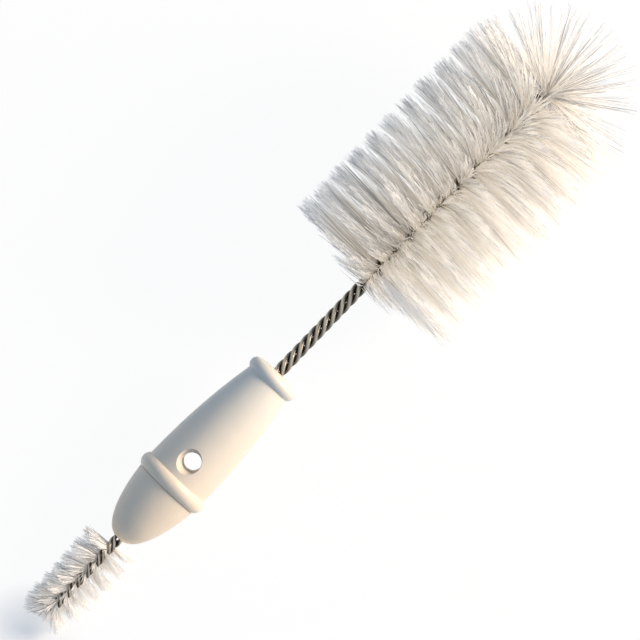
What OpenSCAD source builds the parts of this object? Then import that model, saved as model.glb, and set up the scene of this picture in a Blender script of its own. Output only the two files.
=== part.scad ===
// Bottle brush: a large spiral head on a twisted wire stem, a moulded handle with a
// hanging hole, and a small spiral brush that comes out of the handle's nose.
// The brush lies on its bristles on the plane z = 0, with the large head towards +X.
// Every piece is drawn about the brush's own axis, which is local X with the handle's
// nose at x = 0, and laid() then sets it down.

/* [Handle] */
// Length from the nose to the rim of the collar's flat top
handle_len = 80.2; // [66:0.2:120]
// Largest radius of the barrel
barrel_r = 12.7; // [10.5:0.1:16]
// Distance of the barrel's thickest place from the nose
belly_at = 29; // [26:1:36]
// Fullness of the barrel, where 2 is a plain curve and more keeps it thick for longer
barrel_power = 2.2; // [1.6:0.1:3]
// Radius of the neck under the collar
neck_r = 8.8; // [7.2:0.1:9]
// Length of the blunt nose, up to the ring
nose_len = 24.6; // [16:0.2:28]
// Radius of the nose where it meets the ring
nose_r = 12.4; // [10:0.1:15]
// Distance from the nose at which its curve would run level
nose_depth = 36; // [30:0.5:44]
// Roundness of the nose, where 1 is an ellipse and less is blunter
nose_power = 0.86; // [0.7:0.01:1.2]

/* [Collar and ring] */
// Radius over the collar
collar_r = 10.1; // [9.6:0.1:12]
// Thickness of the collar along the handle
collar_w = 4.8; // [3:0.1:6]
// Height of the dome on the collar's top
collar_dome = 0.7; // [0.2:0.1:2]
// Height of the ring above the barrel
ring_h = 1.3; // [0.4:0.1:2]
// Width of the ring along the handle
ring_w = 5.4; // [4:0.1:7]
// Width and depth of the fine line under the ring
ring_line = 0.45; // [0.2:0.05:0.6]

/* [Hanging hole] */
// Distance of the hole from the nose
hole_at = 37.6; // [34:0.2:46]
// Radius of the hole
hole_r = 3.4; // [2:0.1:4.5]
// Radius of the dished rim at the barrel's surface
dish_r = 5.4; // [4.6:0.1:6]
// Depth of the dished rim
dish_depth = 2.6; // [0.8:0.1:3]

/* [Wire] */
// Diameter of the stem's wires
wire_d = 1.8; // [1.2:0.1:2.2]
// Diameter of the small brush's wires
small_wire_d = 1.3; // [1:0.1:1.5]
// Length of one full turn of the bare stem
stem_pitch = 16.8; // [12:0.2:24]
// Depth of the socket for the stem
stem_socket = 20; // [10:0.5:26]
// Depth of the socket for the small brush
small_socket = 16; // [8:0.5:24]
// Radial clearance of the twisted wires in a socket
socket_clear = 0.15; // [0.05:0.05:0.3]
// Room between neighbouring wires
wire_clear = 0.04; // [0.02:0.01:0.1]

/* [Large head] */
// Length of bare stem between the collar and the first bristles
stem_len = 46; // [20:1:90]
// Length of the spiral of bristles along the wires
head_len = 88; // [50:1:130]
// Radius over the bristles
head_r = 35.6; // [26:0.2:45]
// Length of one full turn in the head, which holds two rows
head_pitch = 15.8; // [14.6:0.2:20]
// Width of a row of bristles at its rim
head_row_w = 6; // [2:0.1:6.4]
// Backward lean of the first row, in degrees
first_lean = 3; // [0:1:10]
// Width of the last row, which spreads out towards the tip
last_row_w = 8.6; // [3:0.1:9]
// Forward lean of the last row, in degrees
last_lean = 11; // [0:1:16]
// Radius of the tuft at the tip
tip_r = 33.6; // [22:0.2:42]
// Lowest angle of the tuft's locks, in degrees from square to the axis
tip_low = 20; // [20:1:45]
// Depth of the valleys between the locks of the tuft, as a part of its radius
tip_valley = 0.2; // [0.1:0.05:0.6]

/* [Small brush] */
// Length of bare wire between the nose and the first bristles
small_gap = 3.2; // [3:0.2:20]
// Length of the spiral of bristles along the wires
small_len = 32.8; // [16:0.2:60]
// Radius over the bristles nearest the nose
small_r = 11.5; // [9:0.1:16]
// Radius over the bristles at the far end
small_end_r = 9; // [7:0.1:13]
// Length of one full turn at the nose
small_pitch = 11.4; // [10:0.2:16]
// Length of one full turn at the far end
small_end_pitch = 8.6; // [8.4:0.2:14]
// Width of a row of bristles at its rim
small_row_w = 3.2; // [1:0.1:3.6]
// Width of the last row, which spreads out past the wires
small_last_row_w = 4; // [1:0.1:5]
// Lean of the first bristles away from the handle, in degrees
small_first_lean = 3; // [0:1:10]
// Lean of the bristles further on, in degrees
small_lean = 17; // [0:1:25]
// Lean of the last row, in degrees
small_end_lean = 60; // [30:1:70]

/* [Bristles] */
// Thickness of the layer of bristles that the wires clamp
layer_t = 0.3; // [0.2:0.05:0.4]
// Room on each side of that layer
layer_clear = 0.1; // [0.05:0.01:0.15]
// How far the lowest bristle tips are pressed in by the surface under them
press = 0.8; // [0.3:0.1:1.5]

/* [Hidden] */

HANDLE_FN = 72;       // sides of the turned handle
WIRE_SIDES = 6;       // sides of one wire
WIRE_STEP = 38;       // most that a wire turns between two of its rings, in degrees
PACK = 0.85;          // share of their radius at which twisted wires push one another out
ROW_STEP = 18;        // turn between two sections of the large head's rows
SMALL_ROW_STEP = 20;  // the same, in the small brush
SMALL_LEAN_RISE = 2;  // the small brush's lean is reached at 1 / this of its length
FIRST_TURN = 63;      // turn of the clamped layer from level, where the head starts
LEAN_RISE = 3;        // power by which the head's lean goes from its first row to its last
TIP_LOCKS = 26;       // locks around the tuft, counting ridges and valleys
TIP_LEVELS = 6;       // levels of locks from the tuft's rim to its pole
SEAT = 0.3;           // gap at a seat between soft and hard pieces
EPS = 0.01;

layer_gap = layer_t + 2 * layer_clear;
head_start = handle_len + stem_len;
head_end = head_start + head_len;
small_start = -small_gap;
small_end = small_start - small_len;

// Eases from 0 to 1 while t goes from 0 to 1.
function ease(t) = let (c = min(max(t, 0), 1)) c * c * (3 - 2 * c);
function mix(a, b, t) = a + (b - a) * t;

// ---- The twist --------------------------------------------------------------------

// Turn of the clamped layer at x, in degrees. The twist is left-handed. A row points
// down near the large head's start, and another where the small wires are folded.
function main_turn(x) =
    -FIRST_TURN
    - 360 * (min(x - head_start, 0) / stem_pitch + max(x - head_start, 0) / head_pitch);
function small_turns(x) =
    -x / small_pitch
    + (1 / small_end_pitch - 1 / small_pitch) * pow(min(x, 0), 2) / (2 * -small_end);
function small_turn(x) = 90 + 360 * (small_turns(x) - small_turns(small_bend));

// How far wires that lean round one another stand out from where upright ones would.
function lay(pitch, d, gap) =
    1 / sqrt(1 - pow(2 * PI * PACK * norm([d, d + gap]) / 2 / pitch, 2));

// Chords between a wire's rings cut the corner, so the rings stand out by that too.
function spread(pitch, d, gap) = lay(pitch, d, gap) / cos(WIRE_STEP / 2);

// Distances of a wire's middle from the axis, along the clamped layer and across it,
// where `gap` is the room between the pairs.
function wire_along(pitch, d, gap) = (d + wire_clear) / 2 * spread(pitch, d, gap);
function wire_across(pitch, d, gap) = (d + gap) / 2 * spread(pitch, d, gap);
function wires_r(pitch, d, gap) =
    norm([wire_along(pitch, d, gap), wire_across(pitch, d, gap)]) + d / 2;

// Pitch of the twist and room between the pairs at x.
function main_pitch(x) = mix(stem_pitch, head_pitch, ease((x - head_start) / wire_d + 1));
function main_gap(x) = mix(wire_clear, layer_gap, ease((x - head_start) / wire_d + 1));
function small_pitch_at(x) = mix(small_pitch, small_end_pitch, max(x / small_end, 0));

// Point at x, `along` the clamped layer and `across` it.
function at(x, turn, along, across) =
    [x, along * cos(turn) - across * sin(turn), along * sin(turn) + across * cos(turn)];

// ---- Tubes ------------------------------------------------------------------------

function tube_ring(path, k, r, sides) =
    let (
        ahead = path[min(k + 1, len(path) - 1)] - path[max(k - 1, 0)],
        t = ahead / norm(ahead),
        away = [0, path[k].y, path[k].z],
        flat = away - (away * t) * t,
        u = flat / norm(flat),
        w = cross(t, u)
    )
    [for (j = [0 : sides - 1])
        let (a = 360 * j / sides) path[k] + r * (cos(a) * u + sin(a) * w)];

// Triangles between rings of n points each, closed by `ends`.
function skin(rings, n) =
    [for (k = [0 : rings - 2], j = [0 : n - 1])
        let (a = k * n + j, b = k * n + (j + 1) % n)
        each [[a, a + n, b + n], [a, b + n, b]]];

module tube(path, r, sides) {
    rings = len(path);
    points = [for (k = [0 : rings - 1]) each tube_ring(path, k, r, sides)];
    ends = [
        [for (j = [0 : sides - 1]) j],
        [for (j = [sides - 1 : -1 : 0]) (rings - 1) * sides + j]
    ];
    polyhedron(points, concat(skin(rings, sides), ends), convexity = 10);
}

// ---- Handle -----------------------------------------------------------------------

// Points of an arc about [x, r], with angles measured from the outward direction.
function arc(x, r, radius, from, to, steps) =
    [for (i = [0 : steps])
        let (a = mix(from, to, i / steps)) [x + radius * sin(a), r + radius * cos(a)]];

// Radius and half angle of a round bead of a height and width.
function bead_radius(h, w) = (w * w / 4 + h * h) / (2 * h);
function bead_angle(h, w) = asin(w / 2 / bead_radius(h, w));

function nose_swell(x) = pow(1 - pow(1 - x / nose_depth, 2), nose_power / 2);
function nose_at(x) = nose_r * nose_swell(x) / nose_swell(nose_len);
function barrel_at(x) =
    let (along = abs(x - belly_at) / (handle_len - collar_w - belly_at))
    barrel_r - (barrel_r - neck_r) * pow(along, barrel_power);

ring_at = nose_len + ring_w / 2;
ring_radius = bead_radius(ring_h, ring_w);
ring_angle = bead_angle(ring_h, ring_w);
collar_top_r = collar_r - collar_w / 2;
collar_h = collar_r - neck_r;
collar_radius = bead_radius(collar_h, collar_w);
collar_angle = bead_angle(collar_h, collar_w);
barrel_start = nose_len + ring_w;
barrel_end = handle_len - collar_w;

NOSE_STEPS = 14;
BARREL_STEPS = 12;
BEAD_STEPS = 8;

handle_outline = concat(
    [for (i = [0 : NOSE_STEPS])
        let (x = (nose_len - ring_line) * (1 - cos(90 * i / NOSE_STEPS))) [x, nose_at(x)]],
    [[nose_len - ring_line, nose_r - ring_line], [nose_len, nose_r - ring_line]],
    arc(ring_at, barrel_r + ring_h - ring_radius, ring_radius, -ring_angle, ring_angle,
        BEAD_STEPS),
    [for (i = [1 : BARREL_STEPS])
        let (x = mix(barrel_start, barrel_end, i / BARREL_STEPS)) [x, barrel_at(x)]],
    arc(handle_len - collar_w / 2, collar_r - collar_radius, collar_radius,
        -collar_angle * (1 - 1 / BEAD_STEPS), 0, BEAD_STEPS - 1),
    [for (i = [1 : BEAD_STEPS])
        let (a = 90 * i / BEAD_STEPS)
        [handle_len - collar_w / 2 * (1 - sin(a)), collar_top_r + collar_w / 2 * cos(a)]],
    [for (i = [1 : BEAD_STEPS])
        let (a = 90 * i / BEAD_STEPS)
        [handle_len + collar_dome * sin(a), collar_top_r * cos(a)]]
);

module socket(mouth, depth, dir, r) {
    translate([mouth - dir * depth, 0, 0])
        rotate([0, dir * 90, 0])
            cylinder(h = depth + collar_dome + EPS, r = r, $fn = HANDLE_FN);
}

module dished_hole() {
    cylinder(h = 2 * (barrel_r + 1), r = hole_r, center = true, $fn = HANDLE_FN);
    // the dish widens to dish_r at the barrel's surface, and goes on at that slope
    slope = (dish_r - hole_r) / dish_depth;
    for (side = [0, 1])
        mirror([0, 0, side])
            translate([0, 0, barrel_at(hole_at) - dish_depth])
                cylinder(h = 2 * dish_depth, r1 = hole_r, r2 = hole_r + 2 * slope * dish_depth,
                    $fn = HANDLE_FN);
}

// Moulded in one piece, with a socket for each set of twisted wires.
module handle() {
    color("ivory")
        laid()
            difference() {
                rotate([0, 90, 0])
                    rotate_extrude($fn = HANDLE_FN)
                        polygon([for (p = handle_outline) [p[1], p[0]]]);
                translate([hole_at, 0, 0]) dished_hole();
                socket(handle_len, stem_socket, 1, stem_r + socket_clear);
                socket(0, small_socket, -1, small_stem_r + socket_clear);
            }
}

// ---- Wires ------------------------------------------------------------------------

stem_r = wires_r(stem_pitch, wire_d, wire_clear);
small_stem_r = wires_r(small_pitch, small_wire_d, layer_gap);
head_fold = wire_across(head_pitch, wire_d, layer_gap);
small_fold = wire_across(small_end_pitch, small_wire_d, layer_gap);

// x of each ring of a wire, WIRE_STEP or less of a turn apart, without the last.
function stations(from, to, pitch) =
    let (steps = ceil(abs(to - from) / pitch * 360 / WIRE_STEP))
    [for (i = [0 : steps - 1]) mix(from, to, i / steps)];

main_from = handle_len - stem_socket + wire_d / 2;
main_bend = head_end - head_fold;
main_stations = concat(
    stations(main_from, head_start, stem_pitch),
    stations(head_start, main_bend, head_pitch),
    [main_bend]
);
small_from = small_socket - small_wire_d / 2;
small_bend = small_end + small_fold;
small_stations = concat(
    stations(small_from, 0, small_pitch),
    stations(0, small_bend, small_end_pitch),
    [small_bend]
);

// One leg of a hairpin. `side` picks the wire, and `leg` which side of the layer.
function main_leg(side, leg) =
    [for (x = main_stations)
        let (pitch = main_pitch(x), gap = main_gap(x))
        at(x, main_turn(x), side * wire_along(pitch, wire_d, gap),
            leg * wire_across(pitch, wire_d, gap))];
function small_leg(side, leg) =
    [for (x = small_stations)
        let (pitch = small_pitch_at(x))
        at(x, small_turn(x), side * wire_along(pitch, small_wire_d, layer_gap),
            leg * wire_across(pitch, small_wire_d, layer_gap))];

// The fold over the end of the layer, from one leg to the other.
function fold(x, turn, along, radius, dir) =
    [for (a = [45, 90, 135])
        at(x + dir * radius * sin(a), turn, along, radius * cos(a))];

function backwards(list) = [for (i = [len(list) - 1 : -1 : 0]) list[i]];

// Each wire is folded in half over the bristles, and both are twisted together.
module main_wire(side) {
    along = side * wire_along(head_pitch, wire_d, layer_gap);
    color("silver")
        laid()
            tube(concat(main_leg(side, 1),
                fold(main_bend, main_turn(main_bend), along, head_fold, 1),
                backwards(main_leg(side, -1))), wire_d / 2, WIRE_SIDES);
}

module main_wire_a() {
    main_wire(1);
}

module main_wire_b() {
    main_wire(-1);
}

module small_wire(side) {
    along = side * wire_along(small_end_pitch, small_wire_d, layer_gap);
    color("silver")
        laid()
            tube(concat(small_leg(side, 1),
                fold(small_bend, small_turn(small_bend), along, small_fold, -1),
                backwards(small_leg(side, -1))), small_wire_d / 2, WIRE_SIDES);
}

module small_wire_a() {
    small_wire(1);
}

module small_wire_b() {
    small_wire(-1);
}

// ---- Setting the brush down -------------------------------------------------------

// Bristles stand straight out of the wires as far as the root, and lean from there.
head_root = wires_r(head_pitch, wire_d, layer_gap) + layer_clear;
small_root = wires_r(small_end_pitch, small_wire_d, layer_gap) + layer_clear;
function lean_out(r, root_r, lean) =
    let (free = max(r - root_r, 0))
    [free * sin(lean), min(r, root_r) + free * cos(lean)];

// Section i of the small brush, counted from the nose: where it stands on the wires,
// its radius, its lean, and where its rim then is.
small_steps = ceil(360 / SMALL_ROW_STEP * 2 * small_len / (small_pitch + small_end_pitch));
function small_x(i) = mix(small_start, small_bend + small_wire_d, i / small_steps);
function small_rim_r(i) = mix(small_r, small_end_r, i / small_steps);
function small_last(i) = ease((i / small_steps - 1) * small_len / small_end_pitch + 1);
function small_lean_at(i) =
    let (early = ease(SMALL_LEAN_RISE * i / small_steps))
    mix(mix(small_first_lean, small_lean, early), small_end_lean, small_last(i));
function small_rim(i) =
    [small_x(i), 0] + lean_out(small_rim_r(i), small_root, -small_lean_at(i));

// The surface touches the large head's first row and the small brush's far end, and
// presses in the bristle tips at both.
rest_x = head_start + head_row_w / 2;
rest_drop = head_r - press;
tilt = min([for (i = [0 : small_steps])
    let (rim = small_rim(i)) atan((rest_drop - rim[1] + press) / (rest_x - rim[0]))]);

// Distance from the axis down to the surface at x, and a point kept above it.
function drop_at(x) = rest_drop + (x - rest_x) * tan(tilt);
function pressed(p) = [p.x, p.y, max(p.z, -drop_at(p.x))];
function laid_x(p) = p.x * cos(tilt) - p.z * sin(tilt);

module laid() {
    translate([-mid_x, 0, drop_at(0) * cos(tilt)]) rotate([0, -tilt, 0]) children();
}

// ---- Bristles ---------------------------------------------------------------------

// Section through both rows at x. The clamped layer passes between the pairs of wires
// and opens on both sides into a row that widens to its rim. The list goes out along
// one face of the layer and back along the other.
function row_section(x, turn, root_r, rim_r, rim_w, lean, pitch) =
    let (
        root_w = layer_t / 2 * sqrt(1 + pow(pitch / (2 * PI * root_r), 2)),
        crown = rim_w / 8,
        out = function(s, r, face, w)
            let (p = lean_out(r, root_r, lean)) at(x + p[0] - s * face * w, turn, s * p[1], 0)
    )
    [
        out(-1, rim_r, 1, rim_w / 2),
        out(-1, root_r, 1, root_w),
        at(x, turn, 0, layer_t / 2),
        out(1, root_r, 1, root_w),
        out(1, rim_r, 1, rim_w / 2),
        out(1, rim_r + crown, 0, 0),
        out(1, rim_r, -1, rim_w / 2),
        out(1, root_r, -1, root_w),
        at(x, turn, 0, -layer_t / 2),
        out(-1, root_r, -1, root_w),
        out(-1, rim_r, -1, rim_w / 2),
        out(-1, rim_r + crown, 0, 0)
    ];
SECTION = 12;

// Lid over a section, in strips from one face of the layer to the other.
function section_lid(first) =
    [for (f = concat([[11, 0, 10], [4, 5, 6]],
        [for (j = [0 : 3]) each [[j, j + 1, 9 - j], [j, 9 - j, 10 - j]]]))
        [for (i = f) first + i]];

module rows(points) {
    rings = len(points) / SECTION;
    last = (rings - 1) * SECTION;
    polyhedron(points, concat(skin(rings, SECTION), section_lid(0),
        [for (f = section_lid(last)) backwards(f)]), convexity = 20);
}

head_steps = ceil(360 / ROW_STEP * head_len / head_pitch);
head_points = [for (i = [0 : head_steps])
    let (
        x = mix(head_start, main_bend - wire_d, i / head_steps),
        last = ease((x - head_end) / head_pitch + 1),
        lean = mix(-first_lean, last_lean, pow(i / head_steps, LEAN_RISE))
    )
    each [for (p = row_section(x, main_turn(x), head_root, head_r,
        mix(head_row_w, last_row_w, last), lean, head_pitch)) pressed(p)]];

module head_bristles() {
    color("whitesmoke") laid() rows(head_points);
}

// Tuft held in the folds of the wires. Its locks point everywhere ahead of them.
tip_x = head_end + wire_d / 2 + SEAT;
tip_points = concat(
    [[tip_x, 0, 0]],
    [for (i = [0 : TIP_LEVELS - 1], j = [0 : TIP_LOCKS - 1])
        let (
            up = mix(tip_low, 90, i / TIP_LEVELS),
            a = 360 * j / TIP_LOCKS,
            r = tip_r * (1 - tip_valley * (j % 2))
        )
        at(tip_x + r * sin(up), a, r * cos(up), 0)],
    [[tip_x + tip_r, 0, 0]]
);
tip_faces = concat(
    [for (j = [0 : TIP_LOCKS - 1]) [0, 1 + j, 1 + (j + 1) % TIP_LOCKS]],
    [for (f = skin(TIP_LEVELS, TIP_LOCKS)) [for (i = f) i + 1]],
    [for (j = [0 : TIP_LOCKS - 1])
        let (top = 1 + (TIP_LEVELS - 1) * TIP_LOCKS)
        [top + (j + 1) % TIP_LOCKS, top + j, top + TIP_LOCKS]]
);

module tip_bristles() {
    color("white") laid() polyhedron(tip_points, tip_faces, convexity = 10);
}

small_points = [for (i = [small_steps : -1 : 0])
    let (x = small_x(i), rim_w = mix(small_row_w, small_last_row_w, small_last(i)))
    each [for (p = row_section(x, small_turn(x), small_root, small_rim_r(i), rim_w,
        -small_lean_at(i), small_pitch_at(x))) pressed(p)]];

module small_bristles() {
    color("whitesmoke") laid() rows(small_points);
}

// The origin lies under the middle of the laid brush.
mid_x = (max([for (p = concat(head_points, tip_points)) laid_x(p)])
    + min([for (p = small_points) laid_x(p)])) / 2;

handle();
main_wire_a();
main_wire_b();
head_bristles();
tip_bristles();
small_wire_a();
small_wire_b();
small_bristles();
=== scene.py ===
# Bottle brush: a moulded handle with a twisted wire stem and a large spiral head at one
# end, and a small spiral brush at the other. It lies on its bristles, head towards +X.
import math

import bmesh
import bpy
from mathutils import Matrix, Vector


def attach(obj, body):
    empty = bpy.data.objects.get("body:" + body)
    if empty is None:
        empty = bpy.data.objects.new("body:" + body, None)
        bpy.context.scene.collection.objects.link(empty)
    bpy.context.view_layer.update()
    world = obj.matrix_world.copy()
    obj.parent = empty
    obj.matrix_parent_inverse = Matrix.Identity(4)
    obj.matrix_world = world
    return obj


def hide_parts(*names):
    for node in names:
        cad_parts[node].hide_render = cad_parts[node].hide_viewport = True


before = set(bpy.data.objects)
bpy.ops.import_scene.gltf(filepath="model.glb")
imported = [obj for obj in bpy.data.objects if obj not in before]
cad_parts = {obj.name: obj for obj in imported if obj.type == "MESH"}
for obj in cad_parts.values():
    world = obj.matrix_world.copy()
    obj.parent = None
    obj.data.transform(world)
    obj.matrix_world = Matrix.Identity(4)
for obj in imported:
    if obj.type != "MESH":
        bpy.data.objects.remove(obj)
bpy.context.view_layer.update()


MM = 0.001
HANDLE_LEN = 80.2
BARREL_R, BELLY_AT, NECK_R, BARREL_POWER = 12.7, 29.0, 8.8, 2.2
NOSE_LEN, NOSE_DEPTH, NOSE_R, NOSE_POWER = 24.6, 36.0, 12.4, 0.86
COLLAR_R, COLLAR_W, COLLAR_DOME, COLLAR_FOOT = 10.1, 4.8, 0.7, 0.93
RING_H, RING_W, RING_LINE = 1.3, 5.4, 0.45
NOSE_STEPS, RING_STEPS, BARREL_STEPS, COLLAR_STEPS, ROUND_STEPS = 48, 16, 40, 12, 128
SHARP = math.radians(32)
HOLE_AT, HOLE_R, DISH_R, DISH_DEPTH = 37.6, 3.4, 4.7, 2.6
DISH_SLIP = (0.4, 1.1)
STEM_SOCKET, SMALL_SOCKET = 20.0, 16.0
STEM_R, SMALL_STEM_R, SOCKET_CLEAR = 2.408, 2.039, 0.15

# The brush is drawn about its own axis, in millimetres, with the handle's nose at x = 0,
# and this lays it down on its bristles.
TILT = math.radians(9.49171)
LAID = (
    Matrix.Translation((-102.457 * MM, 0, 13.0179 * MM))
    @ Matrix.Rotation(-TILT, 4, "Y")
    @ Matrix.Scale(MM, 4)
)


def mix(a, b, t):
    return a + (b - a) * t


def ease(t):
    t = min(max(t, 0.0), 1.0)
    return t * t * (3 - 2 * t)


def arc(x, r, radius, start, stop, steps):
    """Points round [x, r], with angles counted from straight out."""
    angles = [mix(start, stop, i / steps) for i in range(steps + 1)]
    return [(x + radius * math.sin(a), r + radius * math.cos(a)) for a in angles]


def bead(h, w):
    """Radius and half angle of a round bead of a height and width."""
    radius = (w * w / 4 + h * h) / (2 * h)
    return radius, math.asin(w / 2 / radius)


def nose_at(x):
    def swell(v):
        return (1 - (1 - v / NOSE_DEPTH) ** 2) ** (NOSE_POWER / 2)
    return NOSE_R * swell(x) / swell(NOSE_LEN)


def barrel_at(x):
    t = abs(x - BELLY_AT) / (HANDLE_LEN - COLLAR_W - BELLY_AT)
    return BARREL_R - (BARREL_R - NECK_R) * t ** BARREL_POWER


def handle_outline():
    ring_radius, ring_angle = bead(RING_H, RING_W)
    collar_h, top_r = COLLAR_R - NECK_R, COLLAR_R - COLLAR_W / 2
    collar_radius, collar_angle = bead(collar_h, COLLAR_W)
    points = []
    for i in range(NOSE_STEPS + 1):
        x = (NOSE_LEN - RING_LINE) * (1 - math.cos(math.pi / 2 * i / NOSE_STEPS))
        points.append((x, nose_at(x)))
    points += [(NOSE_LEN - RING_LINE, NOSE_R - RING_LINE), (NOSE_LEN, NOSE_R - RING_LINE)]
    points += arc(NOSE_LEN + RING_W / 2, BARREL_R + RING_H - ring_radius, ring_radius,
                  -ring_angle, ring_angle, RING_STEPS)
    for i in range(1, BARREL_STEPS + 1):
        x = mix(NOSE_LEN + RING_W, HANDLE_LEN - COLLAR_W, i / BARREL_STEPS)
        points.append((x, barrel_at(x)))
    points += arc(HANDLE_LEN - COLLAR_W / 2, COLLAR_R - collar_radius, collar_radius,
                  -collar_angle * COLLAR_FOOT, 0, COLLAR_STEPS)
    quarter = [math.pi / 2 * i / COLLAR_STEPS for i in range(1, COLLAR_STEPS + 1)]
    for a in quarter:
        x = HANDLE_LEN - COLLAR_W / 2 * (1 - math.sin(a))
        points.append((x, top_r + COLLAR_W / 2 * math.cos(a)))
    for a in quarter:
        points.append((HANDLE_LEN + COLLAR_DOME * math.sin(a), top_r * math.cos(a)))
    return points


def turned(name, outline, steps, axis=(1, 0, 0)):
    """A closed mesh turned about an axis from its outline, which starts and ends on it."""
    bm = bmesh.new()
    out = Vector((0, 0, 1)) if axis[0] else Vector((1, 0, 0))
    verts = [bm.verts.new(Vector(axis) * x + out * r) for x, r in outline]
    edges = [bm.edges.new(pair) for pair in zip(verts, verts[1:])]
    bmesh.ops.spin(bm, geom=verts + edges, cent=(0, 0, 0), axis=axis, steps=steps,
                   angle=math.tau, use_merge=True)
    bmesh.ops.remove_doubles(bm, verts=bm.verts, dist=1e-4)
    bmesh.ops.recalc_face_normals(bm, faces=bm.faces)
    mesh = bpy.data.meshes.new(name)
    bm.to_mesh(mesh)
    bm.free()
    piece = bpy.data.objects.new(name, mesh)
    bpy.context.collection.objects.link(piece)
    return piece


def cut(piece, cutter):
    """Takes the cutter's shape out of the piece."""
    tool = piece.modifiers.new("cut", "BOOLEAN")
    tool.operation, tool.solver, tool.object = "DIFFERENCE", "EXACT", cutter
    result = bpy.data.meshes.new_from_object(
        piece.evaluated_get(bpy.context.evaluated_depsgraph_get()))
    piece.modifiers.clear()
    piece.data = result
    bpy.data.objects.remove(cutter)


handle = turned("moulded_handle", handle_outline(), ROUND_STEPS)
# the dish in steps up from its floor: the soft edge of the bore, the flare, the rounded
# rim, and a mouth well clear of the barrel
dish_floor = barrel_at(HOLE_AT) - DISH_DEPTH
flare = (DISH_R - HOLE_R) / DISH_DEPTH
flare_top = DISH_DEPTH * 0.75
dish = [
    (-0.2, HOLE_R),
    (0.05, HOLE_R + 0.06),
    (0.3, HOLE_R + 0.25),
    (flare_top, HOLE_R + flare * flare_top + 0.02),
    (DISH_DEPTH, DISH_R + 0.12),
    (DISH_DEPTH + 0.25, DISH_R + 0.6),
    (6, DISH_R + 1),
]
side = [(dish_floor + rise, r) for rise, r in dish]
hole = [(-x, r) for x, r in reversed(side)] + [(0, HOLE_R)] + side
bore = turned("bore", [(hole[0][0], 0)] + hole + [(hole[-1][0], 0)], 96, (0, 0, 1))
for v in bore.data.vertices:
    rise = min(max(abs(v.co.z) - dish_floor, 0) / DISH_DEPTH, 1.3)
    v.co.x += HOLE_AT - DISH_SLIP[0] * rise
    v.co.y += DISH_SLIP[1] * rise
cut(handle, bore)
for mouth, way, depth, wires_r in (
    (HANDLE_LEN, -1, STEM_SOCKET, STEM_R),
    (0, 1, SMALL_SOCKET, SMALL_STEM_R),
):
    r = wires_r + SOCKET_CLEAR
    ends = (mouth - way * 2, mouth + way * depth)
    cut(handle, turned("socket", [(ends[0], 0), (ends[0], r), (ends[1], r), (ends[1], 0)], 64))
handle.data.transform(LAID)
handle.data.shade_smooth()
handle.data.set_sharp_from_angle(angle=SHARP)


class Tone:
    """A shader socket in a sum. Operators add Math nodes to its material."""

    def __init__(self, tree, socket):
        self.tree, self.socket = tree, socket

    def math(self, operation, *others):
        node = self.tree.nodes.new("ShaderNodeMath")
        node.operation = operation
        for slot, value in zip(node.inputs, (self, *others)):
            plug(self.tree, slot, value)
        return Tone(self.tree, node.outputs[0])

    def __add__(self, other):
        return self.math("ADD", other)

    def __mul__(self, other):
        return self.math("MULTIPLY", other)

    def __sub__(self, other):
        return self.math("SUBTRACT", other)

    def __rsub__(self, other):
        return (self * -1) + other

    __radd__, __rmul__ = __add__, __mul__

    def between(self, first, second):
        """The colour that lies this far from the first to the second."""
        node = self.tree.nodes.new("ShaderNodeMix")
        node.data_type = "RGBA"
        factor, start, stop = node.inputs[0], node.inputs[6], node.inputs[7]
        for slot, value in ((factor, self), (start, first), (stop, second)):
            plug(self.tree, slot, value)
        return Tone(self.tree, node.outputs[2])


def plug(tree, slot, value):
    if isinstance(value, Tone):
        tree.links.new(value.socket, slot)
    else:
        slot.default_value = value


class Finish:
    """A material being mixed: its node tree and its main shader."""

    def __init__(self, name, roughness, **constants):
        self.material = bpy.data.materials.new(name)
        self.material.use_nodes = True
        self.tree = self.material.node_tree
        self.shader = self.tree.nodes["Principled BSDF"]
        self.shader.inputs["Roughness"].default_value = roughness
        for socket, value in constants.items():
            self.shader.inputs[socket.replace("_", " ")].default_value = value

    def node(self, kind, out=0, settings=(), **sockets):
        node = self.tree.nodes.new(kind)
        for name, value in dict(settings).items():
            setattr(node, name, value)
        for name, value in sockets.items():
            plug(self.tree, node.inputs[name.replace("_", " ")], value)
        return Tone(self.tree, node.outputs[out])

    def place(self):
        return self.node("ShaderNodeTexCoord", "Object")

    def noise(self, scale, detail=3.0):
        place = self.place()
        return self.node("ShaderNodeTexNoise", "Fac", Vector=place, Scale=scale, Detail=detail)

    def attribute(self, name):
        return self.node("ShaderNodeAttribute", "Fac", settings={"attribute_name": name})

    def give(self, socket, value):
        plug(self.tree, self.shader.inputs[socket], value)

    def bump(self, height, distance):
        bump = self.node("ShaderNodeBump", "Normal", Height=height, Distance=distance, Strength=1.0)
        self.give("Normal", bump)


# the colour is warmer towards the nose, and the plastic is faintly clouded
NOSE_IVORY, IVORY, PALE_IVORY = (0.93, 0.71, 0.47, 1), (0.76, 0.71, 0.61, 1), (0.79, 0.74, 0.65, 1)
ivory = Finish("ivory_plastic", 0.42, Specular_IOR_Level=0.45)
cloud = ivory.noise(28.0, 2.0) * 0.35
along = ivory.node("ShaderNodeSeparateXYZ", "X", Vector=ivory.place()) * 14.0 + 1.5
tinted = along.math("MINIMUM", 1.0).math("MAXIMUM", 0.0).between(NOSE_IVORY, IVORY)
ivory.give("Base Color", cloud.between(tinted, PALE_IVORY))
ivory.give("Roughness", ivory.noise(160.0) * 0.12 + 0.36)
ivory.bump(ivory.noise(90.0, 2.0) * 0.6 + ivory.noise(1400.0, 2.0) * 0.08, 0.0003)
handle.data.materials.clear()
handle.data.materials.append(ivory.material)
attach(handle, "root")
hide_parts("handle")


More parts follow.
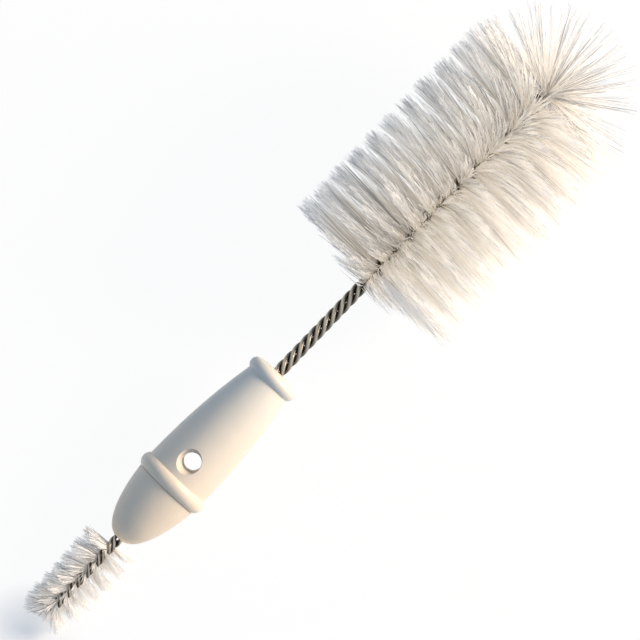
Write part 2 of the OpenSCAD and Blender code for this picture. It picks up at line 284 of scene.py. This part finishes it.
# ---- Stem and head wires ------------------------------------------------------------
# Two steel wires, each folded in half over the bristles. One leg of each lies on either
# side of the layer of bristles, and all four legs are twisted to the left together.
WIRE_D, STEM_PITCH, HEAD_PITCH = 1.8, 16.8, 15.8
STEM_LEN, HEAD_LEN = 46.0, 88.0
# twisted wires push one another out at a share of their radius, and the chords between a
# wire's rings cut the corner
LAYER_GAP, WIRE_CLEAR, PACK, CHORD = 0.5, 0.04, 0.85, math.cos(math.radians(19))
HEAD_START = HANDLE_LEN + STEM_LEN
HEAD_END = HEAD_START + HEAD_LEN
FIRST_TURN = math.radians(63)
# the seen wire is round, and keeps a hair inside the corners of the six-sided solid one
WIRE_SHARE = 0.985
TURN_STEPS, FOLD_STEPS = 28, 10


def head_turn(x):
    """Turn of the clamped layer at x."""
    past = x - HEAD_START
    return -FIRST_TURN - math.tau * (min(past, 0) / STEM_PITCH + max(past, 0) / HEAD_PITCH)


def spread(pitch, d, gap):
    """How far wires that lean round one another stand out from where upright ones would."""
    lean = math.tau * PACK * math.hypot(d, d + gap) / 2 / pitch
    return 1 / math.sqrt(1 - lean * lean) / CHORD


def offsets(pitch, d, gap):
    """Distances of a wire's middle from the axis, along the clamped layer and across it."""
    out = spread(pitch, d, gap)
    return (d + WIRE_CLEAR) / 2 * out, (d + gap) / 2 * out


def at(x, turn, along, across):
    c, s = math.cos(turn), math.sin(turn)
    return Vector((x, along * c - across * s, along * s + across * c))


def hairpin(name, stations, turn_at, place_at, bend_way, d):
    """A wire folded in half at the last station."""
    legs = [
        [at(x, turn_at(x), place_at(x)[0], leg * place_at(x)[1]) for x in stations]
        for leg in (1, -1)
    ]
    bend, (along, radius) = stations[-1], place_at(stations[-1])
    fold = [
        at(bend + bend_way * radius * math.sin(a), turn_at(bend), along, radius * math.cos(a))
        for a in [math.pi * i / FOLD_STEPS for i in range(1, FOLD_STEPS)]
    ]
    path = legs[0] + fold + legs[1][::-1]
    curve = bpy.data.curves.new(name, "CURVE")
    curve.dimensions = "3D"
    curve.bevel_depth = d / 2 * MM * WIRE_SHARE
    curve.bevel_resolution = 3
    curve.use_fill_caps = True
    line = curve.splines.new("POLY")
    line.points.add(len(path) - 1)
    for point, place in zip(line.points, path):
        point.co = (*(LAID @ place), 1)
    drawn = bpy.data.objects.new(name, curve)
    mesh = bpy.data.meshes.new_from_object(drawn)
    bpy.data.objects.remove(drawn)
    # about 1 on the ridge of each turn, which stands proud, and 0 in the grooves: the ridges are
    # painted lighter, partly wear and partly a painted highlight, and the grooves darker,
    # partly dirt and partly painted shade
    back = LAID.inverted()
    places = [back @ v.co for v in mesh.vertices]
    proud = [(math.hypot(p.y, p.z) - math.hypot(*place_at(p.x))) * 2 / d for p in places]
    wear_and_sheen = mesh.attributes.new("wear_and_sheen", "FLOAT", "POINT")
    wear_and_sheen.data.foreach_set("value", [max(v, 0) for v in proud])
    piece = bpy.data.objects.new(name, mesh)
    mesh.shade_smooth()
    bpy.context.collection.objects.link(piece)
    return piece


def stem_place(x):
    t = ease((x - HEAD_START) / WIRE_D + 1)
    return offsets(mix(STEM_PITCH, HEAD_PITCH, t), WIRE_D, mix(WIRE_CLEAR, LAYER_GAP, t))


def steps(start, stop, spacing):
    count = math.ceil(abs(stop - start) / spacing)
    return [mix(start, stop, i / count) for i in range(count + 1)]


# painted shade and highlight: the steel is darker in the grooves, partly dirt and partly painted
# shade, and lighter on the ridges, partly wear and partly a painted highlight
GROOVE_SHADE_STEEL, RIDGE_SHEEN_STEEL = (0.085, 0.078, 0.066, 1), (0.46, 0.43, 0.375, 1)
steel = Finish("steel_wire", 0.3, Metallic=1.0)
uneven = steel.noise(260.0, 4.0) + 0.5
ridge_sheen = (steel.attribute("wear_and_sheen").math("POWER", 5.0) * uneven).math("MINIMUM", 1.0)
steel.give("Base Color", ridge_sheen.between(GROOVE_SHADE_STEEL, RIDGE_SHEEN_STEEL))
steel.give("Roughness", steel.noise(700.0) * 0.12 + 0.28)
steel.bump(steel.noise(1100.0, 2.0), 0.00008)

HEAD_BEND = HEAD_END - offsets(HEAD_PITCH, WIRE_D, LAYER_GAP)[1]
stem_stations = steps(HANDLE_LEN - STEM_SOCKET + WIRE_D / 2, HEAD_BEND, STEM_PITCH / TURN_STEPS)
for letter, side in (("a", 1), ("b", -1)):
    wire = hairpin(f"stem_wire_{letter}", stem_stations, head_turn,
                   lambda x: (side * stem_place(x)[0], stem_place(x)[1]), 1, WIRE_D)
    wire.data.materials.append(steel.material)
    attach(wire, "root")
    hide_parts(f"main_wire_{letter}")


# ---- Head bristles ------------------------------------------------------------------
# Straight nylon filaments laid side by side between the pairs of wires. The twist opens
# the layer into two spiral rows, whose filaments cling together in small locks.
import numpy as np

# leans and fans are in degrees, and lengths in millimetres
HEAD_R, FIRST_LEAN, LAST_LEAN, LEAN_RISE = 35.6, 3.0, 11.0, 3
COMBED, COMBED_FROM = 6.5, 140.0
HEAD_ROOT = 0.5
HEAD_LOCKS, LOCK_SIZE, STRAY_SHARE = 4000, 2, 0.06
HEAD_FAN, FIRST_FAN, LEFT_FAN = 4.8, 0.4, 0.7
LOCK_SWAY, LOCK_SHORT, LOCK_SLIP, UPPER_SLIP = 1.5, 0.04, 0.2, 2.0
OWN_LEAN, OWN_SWAY, OWN_LENGTH, OWN_SLIP, OWN_BEND = 0.35, 0.4, 0.8, 0.4, 0.2
LONGEST = HEAD_R + 0.6
FILAMENT_D = 0.27
PRESSED = 0.12
TAPER = (1.0, 0.95, 0.4)
LOCK_TONE, OWN_TONE = 0.7, 0.3
# painted shade: locks that point to the left are duller than those that point to the right
SHADED_LEFT_TONE, LIT_RIGHT_TONE = 1.1, 0.86


def filaments(name, roots, tips, bend, lock, d, dulled_and_shaded):
    """A piece of tapered filaments from roots to tips, in millimetres about the axis."""
    count = len(roots)
    draw = np.random.default_rng(count)
    tones = LOCK_TONE * draw.random(lock[-1] + 1)[lock] + OWN_TONE * draw.random(count)
    # each filament's dullness is scaled here, on the head and the small brush partly as painted
    # shade that is deeper on the left side
    tones = dulled_and_shaded * tones
    rolls = draw.uniform(0, math.tau, count)
    path = np.stack((roots, (roots + tips) / 2 + bend, tips), axis=1)
    laid = np.array(LAID)
    path = path @ laid[:3, :3].T + laid[:3, 3]
    path[..., 2] = np.maximum(path[..., 2], PRESSED * MM)
    outline = bpy.data.curves.new("section", "CURVE")
    triangle = outline.splines.new("POLY")
    triangle.points.add(2)
    triangle.use_cyclic_u = True
    for point, turn in zip(triangle.points, (0, math.tau / 3, -math.tau / 3)):
        point.co = (d / 2 * MM * math.cos(turn), d / 2 * MM * math.sin(turn), 0, 1)
    section = bpy.data.objects.new("section", outline)
    curve = bpy.data.curves.new(name, "CURVE")
    curve.dimensions = "3D"
    curve.bevel_mode, curve.bevel_object, curve.use_fill_caps = "OBJECT", section, True
    for line, roll in zip(path, rolls):
        spline = curve.splines.new("POLY")
        spline.points.add(2)
        spline.points.foreach_set("co", np.column_stack((line, np.ones(3))).ravel())
        spline.points.foreach_set("radius", TAPER)
        spline.points.foreach_set("tilt", (roll,) * 3)
    drawn = bpy.data.objects.new(name, curve)
    for part in (section, drawn):
        bpy.context.collection.objects.link(part)
    mesh = bpy.data.meshes.new_from_object(
        drawn.evaluated_get(bpy.context.evaluated_depsgraph_get()))
    for part in (section, drawn):
        bpy.data.objects.remove(part)
    # the two caps' corners come first, from the last filament to the first, and then the
    # corners of the three sections of each filament
    shades = np.concatenate((np.repeat(tones[::-1], 2 * 3), np.repeat(tones, 3 * 3)))
    caps, sections = np.repeat((1.0, 0.0), 3), np.repeat((0.0, 0.5, 1.0), 3)
    reaches = np.concatenate((np.tile(caps, count), np.tile(sections, count)))
    for attribute, values in (("shade", shades), ("reach", reaches)):
        mesh.attributes.new(attribute, "FLOAT", "POINT").data.foreach_set("value", values)
    bm = bmesh.new()
    bm.from_mesh(mesh)
    bmesh.ops.remove_doubles(bm, verts=bm.verts, dist=1e-7)
    bm.to_mesh(mesh)
    bm.free()
    mesh.shade_flat()
    piece = bpy.data.objects.new(name, mesh)
    bpy.context.collection.objects.link(piece)
    return piece


def radial(angle):
    return np.stack((np.zeros_like(angle), np.cos(angle), np.sin(angle)), axis=-1)


ALONG = np.array((1.0, 0.0, 0.0))


def eased(t):
    t = np.clip(t, 0, 1)
    return t * t * (3 - 2 * t)


def head_row(name, side, seed):
    """One of the two spiral rows. Its locks spread most on the underside, and lie close
    together on top. On the left, seen from the handle, they are combed towards the tip."""
    draw = np.random.default_rng(seed)
    lock_x = draw.uniform(HEAD_START, HEAD_BEND - WIRE_D, HEAD_LOCKS)
    size = draw.integers(1, 2 * LOCK_SIZE, HEAD_LOCKS)
    lock = np.repeat(np.arange(HEAD_LOCKS), size)
    count = len(lock)
    turn = np.array([head_turn(v) for v in lock_x]) + (0 if side > 0 else math.pi)
    last = eased((lock_x - HEAD_END) / HEAD_PITCH + 1)
    mean_lean = mix(-FIRST_LEAN, LAST_LEAN, ((lock_x - HEAD_START) / HEAD_LEN) ** LEAN_RISE)
    # how far each lock points to the left, up and down
    left = (1 + np.cos(turn)) / 2
    mean_lean += COMBED * left * np.abs(np.sin(turn)) * eased((lock_x - COMBED_FROM) / HEAD_PITCH)
    stray = draw.random(HEAD_LOCKS) < STRAY_SHARE
    upper, lower = np.maximum(np.sin(turn), 0), np.maximum(-np.sin(turn), 0)
    first = eased((lock_x - HEAD_START) / HEAD_PITCH * 2)
    fan = HEAD_FAN * mix(FIRST_FAN, 1, first) * mix(LEFT_FAN, 1, left)
    fan *= 1 + last - 0.5 * upper + 1.3 * left * lower + 0.8 * stray
    lean = mean_lean + draw.uniform(-1, 1, HEAD_LOCKS) * fan
    sway = draw.normal(0, LOCK_SWAY, HEAD_LOCKS)
    length = HEAD_R * (1 - np.abs(draw.normal(0, LOCK_SHORT, HEAD_LOCKS)))
    lean = np.radians(lean[lock] + draw.normal(0, OWN_LEAN, count))
    sway = np.radians(sway[lock] + draw.normal(0, OWN_SWAY, count))
    length = np.minimum(length[lock] + draw.normal(0, OWN_LENGTH, count), LONGEST)
    lock_x = lock_x + draw.normal(0, LOCK_SLIP + UPPER_SLIP * upper ** 6)
    root_x = (lock_x[lock] + draw.normal(0, OWN_SLIP, count))[:, None] * ALONG
    root = radial(turn[lock]) * HEAD_ROOT + root_x
    way = radial(turn[lock] + sway) * np.cos(lean)[:, None] + ALONG * np.sin(lean)[:, None]
    tip = lock_x[lock][:, None] * ALONG + way * length[:, None]
    bend = draw.normal(0, OWN_BEND, (count, 3))
    # painted shade: locks that point left are duller and those that point right clearer, as the
    # light falls from the right
    dulled_and_shaded = mix(LIT_RIGHT_TONE, SHADED_LEFT_TONE, left[lock])
    return filaments(name, root, tip, bend, lock, FILAMENT_D, dulled_and_shaded)


# each filament is clear or duller, and its glow stands for the light that nylon carries
# along to its tip
ROOT_NYLON, TIP_NYLON = (0.90, 0.865, 0.81, 1), (0.96, 0.92, 0.855, 1)
ROOT_GLOW, TIP_GLOW = (0.155, 0.135, 0.112, 1), (0.185, 0.182, 0.178, 1)
DULL_NYLON, DULL_GLOW = (0.46, 0.46, 0.46, 1), (0.03, 0.028, 0.025, 1)
nylon = Finish("nylon_bristle", 0.3, Specular_IOR_Level=0.5, Emission_Strength=1.0)
reach = nylon.attribute("reach")
dull = (nylon.attribute("shade") * 2.2 - 1.0).math("MAXIMUM", 0.0)
for socket, root_colour, tip_colour, dull_colour in (
    ("Base Color", ROOT_NYLON, TIP_NYLON, DULL_NYLON),
    ("Emission Color", ROOT_GLOW, TIP_GLOW, DULL_GLOW),
):
    nylon.give(socket, dull.between(reach.between(root_colour, tip_colour), dull_colour))

for letter, side, seed in (("a", 1, 11), ("b", -1, 12)):
    row = head_row(f"head_row_{letter}", side, seed)
    row.data.materials.append(nylon.material)
    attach(row, "root")
    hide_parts("head_bristles")


# ---- Tip tuft -----------------------------------------------------------------------
# Filaments held in the folds of the wires. They point everywhere ahead of them, and
# cling together in long thin locks with gaps between.
TIP_R, TIP_LOW, TIP_LOCKS, TIP_LOCK_SIZE = 33.6, -12.0, 440, 3
TIP_X = HEAD_END + WIRE_D / 2 + 0.3
TIP_SHORT, TIP_SPREAD, TIP_START, TIP_OWN, TIP_TONE = 0.035, 0.5, 0.8, 0.45, 1.1
TIP_BEND, TIP_OWN_BEND = 0.4, 0.2

draw = np.random.default_rng(21)
size = draw.integers(1, 2 * TIP_LOCK_SIZE - 2, TIP_LOCKS)
lock = np.repeat(np.arange(TIP_LOCKS), size)
count = len(lock)
up = np.arcsin(draw.uniform(math.sin(math.radians(TIP_LOW)), 1, TIP_LOCKS))
around = draw.uniform(0, math.tau, TIP_LOCKS)
way = radial(around) * np.cos(up)[:, None] + ALONG * np.sin(up)[:, None]
length = TIP_R * (1 - np.abs(draw.normal(0, TIP_SHORT, TIP_LOCKS)))
root = TIP_X * ALONG + draw.normal(0, TIP_SPREAD, (count, 3)) + way[lock] * TIP_START
tip = TIP_X * ALONG + (way * length[:, None])[lock] + draw.normal(0, TIP_OWN, (count, 3))
bend = draw.normal(0, TIP_BEND, (TIP_LOCKS, 3))[lock] + draw.normal(0, TIP_OWN_BEND, (count, 3))
tuft = filaments("tip_tuft", root, tip, bend, lock, FILAMENT_D, TIP_TONE)
tuft.data.materials.append(nylon.material)
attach(tuft, "root")
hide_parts("tip_bristles")


# ---- Small wires --------------------------------------------------------------------
# Two thinner steel wires, folded and twisted in the same way. The twist tightens
# towards the far end.
SMALL_WIRE_D, SMALL_GAP, SMALL_LEN = 1.3, 3.2, 32.8
SMALL_PITCH, SMALL_END_PITCH = 11.4, 8.6
SMALL_START, SMALL_END = -SMALL_GAP, -SMALL_GAP - SMALL_LEN


def small_turns(x):
    """Turns from the nose to x. The twist tightens evenly towards the far end."""
    tighter = 1 / SMALL_END_PITCH - 1 / SMALL_PITCH
    return -x / SMALL_PITCH + tighter * min(x, 0) ** 2 / (2 * -SMALL_END)


def small_turn(x):
    return math.pi / 2 + math.tau * (small_turns(x) - small_turns(SMALL_BEND))


def small_place(x):
    pitch = mix(SMALL_PITCH, SMALL_END_PITCH, max(x / SMALL_END, 0))
    return offsets(pitch, SMALL_WIRE_D, LAYER_GAP)


SMALL_BEND = SMALL_END + offsets(SMALL_END_PITCH, SMALL_WIRE_D, LAYER_GAP)[1]
small_stations = steps(SMALL_SOCKET - SMALL_WIRE_D / 2, SMALL_BEND, SMALL_END_PITCH / TURN_STEPS)
for letter, side in (("a", 1), ("b", -1)):
    wire = hairpin(f"nose_wire_{letter}", small_stations, small_turn,
                   lambda x: (side * small_place(x)[0], small_place(x)[1]), -1, SMALL_WIRE_D)
    wire.data.materials.append(steel.material)
    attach(wire, "root")
    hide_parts(f"small_wire_{letter}")


# ---- Small bristles -----------------------------------------------------------------
# Shorter nylon filaments, clamped the same way. They lean away from the handle, more on
# one side than on the other, and the last ones spread out past the end of the wires.
SMALL_R, SMALL_END_R, SMALL_LEAN, SMALL_END_LEAN = 11.5, 10.4, 17.0, 32.0
SMALL_FRONT = 6.0
SMALL_FIRST_LEAN, SMALL_SIDE_LEAN = 3.0, 9.0
SMALL_LOCKS, SMALL_LOCK_SIZE, SMALL_FILAMENT_D, SMALL_END_SHARE = 1600, 3, 0.2, 0.12
SMALL_FAN, SMALL_WIDE_FAN, SMALL_NEAR_FAN = 8.0, 3.0, 0.7
SMALL_THIN, SMALL_ROOT, SMALL_SHORT = 0.75, 0.5, 0.04
SMALL_OWN_LEAN, SMALL_OWN_SWAY, SMALL_OWN_LENGTH = 2.0, 2.5, 0.25
SMALL_OWN_SLIP, SMALL_OWN_BEND = 0.15, 0.15
# painted shade: the small brush's locks are duller on the left than on the right
SMALL_SHADED_LEFT_TONE, SMALL_LIT_RIGHT_TONE = 1.3, 0.8

draw = np.random.default_rng(31)
size = draw.integers(1, 2 * SMALL_LOCK_SIZE, SMALL_LOCKS)
lock = np.repeat(np.arange(SMALL_LOCKS), size)
count = len(lock)
ending = draw.random(SMALL_LOCKS) < SMALL_END_SHARE
along = np.where(ending, draw.uniform(0.93, 1, SMALL_LOCKS), draw.uniform(0, 1, SMALL_LOCKS))
lock_x = mix(SMALL_START, SMALL_BEND + SMALL_WIRE_D, along)
turn = np.array([small_turn(v) for v in lock_x]) + draw.integers(0, 2, SMALL_LOCKS) * math.pi
# the rows are thin where they stand straight up, so that the wires show between them
near = np.maximum(np.sin(turn), 0) ** 4
turn = np.where(draw.random(SMALL_LOCKS) < SMALL_THIN * near, turn + math.pi, turn)
last = eased((along - 1) * SMALL_LEN / SMALL_END_PITCH * 1.3 + 1)
mean_lean = mix(SMALL_FIRST_LEAN, SMALL_LEAN, eased(along * 2.2)) + SMALL_SIDE_LEAN * np.cos(turn)
fan = (SMALL_FAN + SMALL_WIDE_FAN * np.maximum(np.cos(turn), 0)) * (1 + last)
fan *= 1 - SMALL_NEAR_FAN * np.maximum(np.sin(turn), 0) ** 4
lean = mix(mean_lean, SMALL_END_LEAN, last) + draw.uniform(-1, 1, SMALL_LOCKS) * fan
# the last locks spread out ahead of the wires, and are cut off nearly square
lean = np.where(ending, np.degrees(np.arcsin(draw.uniform(0.55, 1, SMALL_LOCKS))), lean)
any_way = draw.uniform(-90, 90, SMALL_LOCKS)
sway = np.where(ending, any_way, draw.normal(0, 3.0, SMALL_LOCKS) * (1 + 2 * last))
length = mix(SMALL_R, SMALL_END_R, along)
squared = np.minimum(length, SMALL_FRONT / np.sin(np.radians(np.maximum(lean, 20))))
length = np.where(ending, squared, length)
length = length * (1 - np.abs(draw.normal(0, SMALL_SHORT, SMALL_LOCKS)))
lean = np.radians(lean[lock] + draw.normal(0, SMALL_OWN_LEAN, count))
sway = np.radians(sway[lock] + draw.normal(0, SMALL_OWN_SWAY, count))
length = length[lock] + draw.normal(0, SMALL_OWN_LENGTH, count)
way = radial(turn[lock] + sway) * np.cos(lean)[:, None] - ALONG * np.sin(lean)[:, None]
root_x = (lock_x[lock] + draw.normal(0, SMALL_OWN_SLIP, count))[:, None] * ALONG
root = radial(turn[lock]) * SMALL_ROOT + root_x
tip = lock_x[lock][:, None] * ALONG + way * length[:, None]
bend = draw.normal(0, SMALL_OWN_BEND, (count, 3))
# painted shade: locks that point left are duller and those that point right clearer, as the light
# falls from the right
dulled_and_shaded = mix(SMALL_LIT_RIGHT_TONE, SMALL_SHADED_LEFT_TONE, (1 + np.cos(turn[lock])) / 2)
small_row = filaments("small_rows", root, tip, bend, lock, SMALL_FILAMENT_D, dulled_and_shaded)
small_row.data.materials.append(nylon.material)
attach(small_row, "root")
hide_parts("small_bristles")


# ---- Floor, lamp and camera ---------------------------------------------------------
# A plain white floor that keeps a faint shadow, a broad warm lamp low on one side, a
# cool sky for the rest, and a camera that looks straight down on the brush's length.
FLOOR_SIZE, FLOOR_GREY, FLOOR_SHARE = 6.0, (0.93, 0.93, 0.93, 1), 0.94
TOUCH_AT, TOUCH_SHARE, TOUCH_FADE = (-46, -2, 0), 0.6, 50.0
WHITE, SKY, SKY_STRENGTH = (1, 1, 1, 1), (0.49, 0.71, 1.04, 1), 0.48
MIDDLE_AT, AIM_SIDE = 104.1, 2.3
LAMP_PLACE, LAMP_SIZE = (0.68, -0.58, 0.52), 0.55
LAMP_POWER, LAMP_COLOUR = 17.0, (1.0, 0.82, 0.64)
CAMERA_AWAY, ROLL, SENSOR, LENS = 1.5, math.radians(46), 36, 241.07

bm = bmesh.new()
bmesh.ops.create_grid(bm, x_segments=1, y_segments=1, size=FLOOR_SIZE)
mesh = bpy.data.meshes.new("floor")
bm.to_mesh(mesh)
bm.free()
floor = bpy.data.objects.new("floor", mesh)
bpy.context.collection.objects.link(floor)


def straight_to(tree):
    """1 for what the camera sees, also in metal or through glass, and 0 for falling light."""
    rays = tree.nodes.new("ShaderNodeLightPath").outputs
    sight = Tone(tree, rays["Is Camera Ray"]).math("MAXIMUM", Tone(tree, rays["Is Glossy Ray"]))
    return sight.math("MAXIMUM", Tone(tree, rays["Is Transmission Ray"]))


paper = Finish("floor", 0.9, Specular_IOR_Level=0.0, Base_Color=FLOOR_GREY)
glow = paper.node("ShaderNodeEmission", Color=WHITE, Strength=1.0)
# a painted shadow: the floor's white glow is taken down around where the small brush's end
# touches the floor, so that the real shadow there shows deeper
touch = LAID @ Vector(TOUCH_AT)
away = paper.node("ShaderNodeMapping", Vector=paper.place(), Location=(-touch.x, -touch.y, 0))
away = paper.node("ShaderNodeVectorMath", "Value", settings={"operation": "LENGTH"}, Vector=away)
painted_shadow = (1.0 - away * TOUCH_FADE).math("MAXIMUM", 0.0)
blend = paper.tree.nodes.new("ShaderNodeMixShader")
plug(paper.tree, blend.inputs[0], straight_to(paper.tree) * (FLOOR_SHARE - painted_shadow * TOUCH_SHARE))
paper.tree.links.new(paper.shader.outputs[0], blend.inputs[1])
paper.tree.links.new(glow.socket, blend.inputs[2])
paper.tree.links.new(blend.outputs[0], paper.tree.nodes["Material Output"].inputs["Surface"])
floor.data.materials.append(paper.material)

world = bpy.data.worlds.new("studio")
bpy.context.scene.world = world
world.use_nodes = True
sky = world.node_tree.nodes["Background"]
straight = straight_to(world.node_tree)
plug(world.node_tree, sky.inputs["Color"], straight.between(SKY, WHITE))
plug(world.node_tree, sky.inputs["Strength"], straight * (1 - SKY_STRENGTH) + SKY_STRENGTH)

middle = LAID @ Vector((MIDDLE_AT, 0, 0))
lamp_data = bpy.data.lights.new("warm_side", "AREA")
lamp_data.shape, lamp_data.size = "DISK", LAMP_SIZE
lamp_data.energy, lamp_data.color = LAMP_POWER, LAMP_COLOUR
lamp = bpy.data.objects.new("warm_side", lamp_data)
lamp.location = middle + Vector(LAMP_PLACE)
lamp.rotation_euler = (lamp.location - middle).to_track_quat("Z", "Y").to_euler()
bpy.context.collection.objects.link(lamp)

camera_data = bpy.data.cameras.new("camera")
camera = bpy.data.objects.new("camera", camera_data)
bpy.context.collection.objects.link(camera)
AXIS = LAID.to_3x3().normalized() @ Vector((1, 0, 0))
UP = LAID.to_3x3().normalized() @ Vector((0, 0, 1))
aim = LAID @ Vector((MIDDLE_AT, AIM_SIDE, 0))
right = AXIS * math.cos(ROLL) - Vector((0, 1, 0)) * math.sin(ROLL)
top = AXIS * math.sin(ROLL) + Vector((0, 1, 0)) * math.cos(ROLL)
turned_to = Matrix((right, top, UP)).transposed().to_4x4()
camera.matrix_world = Matrix.Translation(aim + UP * CAMERA_AWAY) @ turned_to
camera_data.sensor_width = SENSOR
camera_data.lens = LENS
camera_data.dof.use_dof = False
bpy.context.scene.camera = camera
bpy.context.scene.view_settings.view_transform = "Standard"
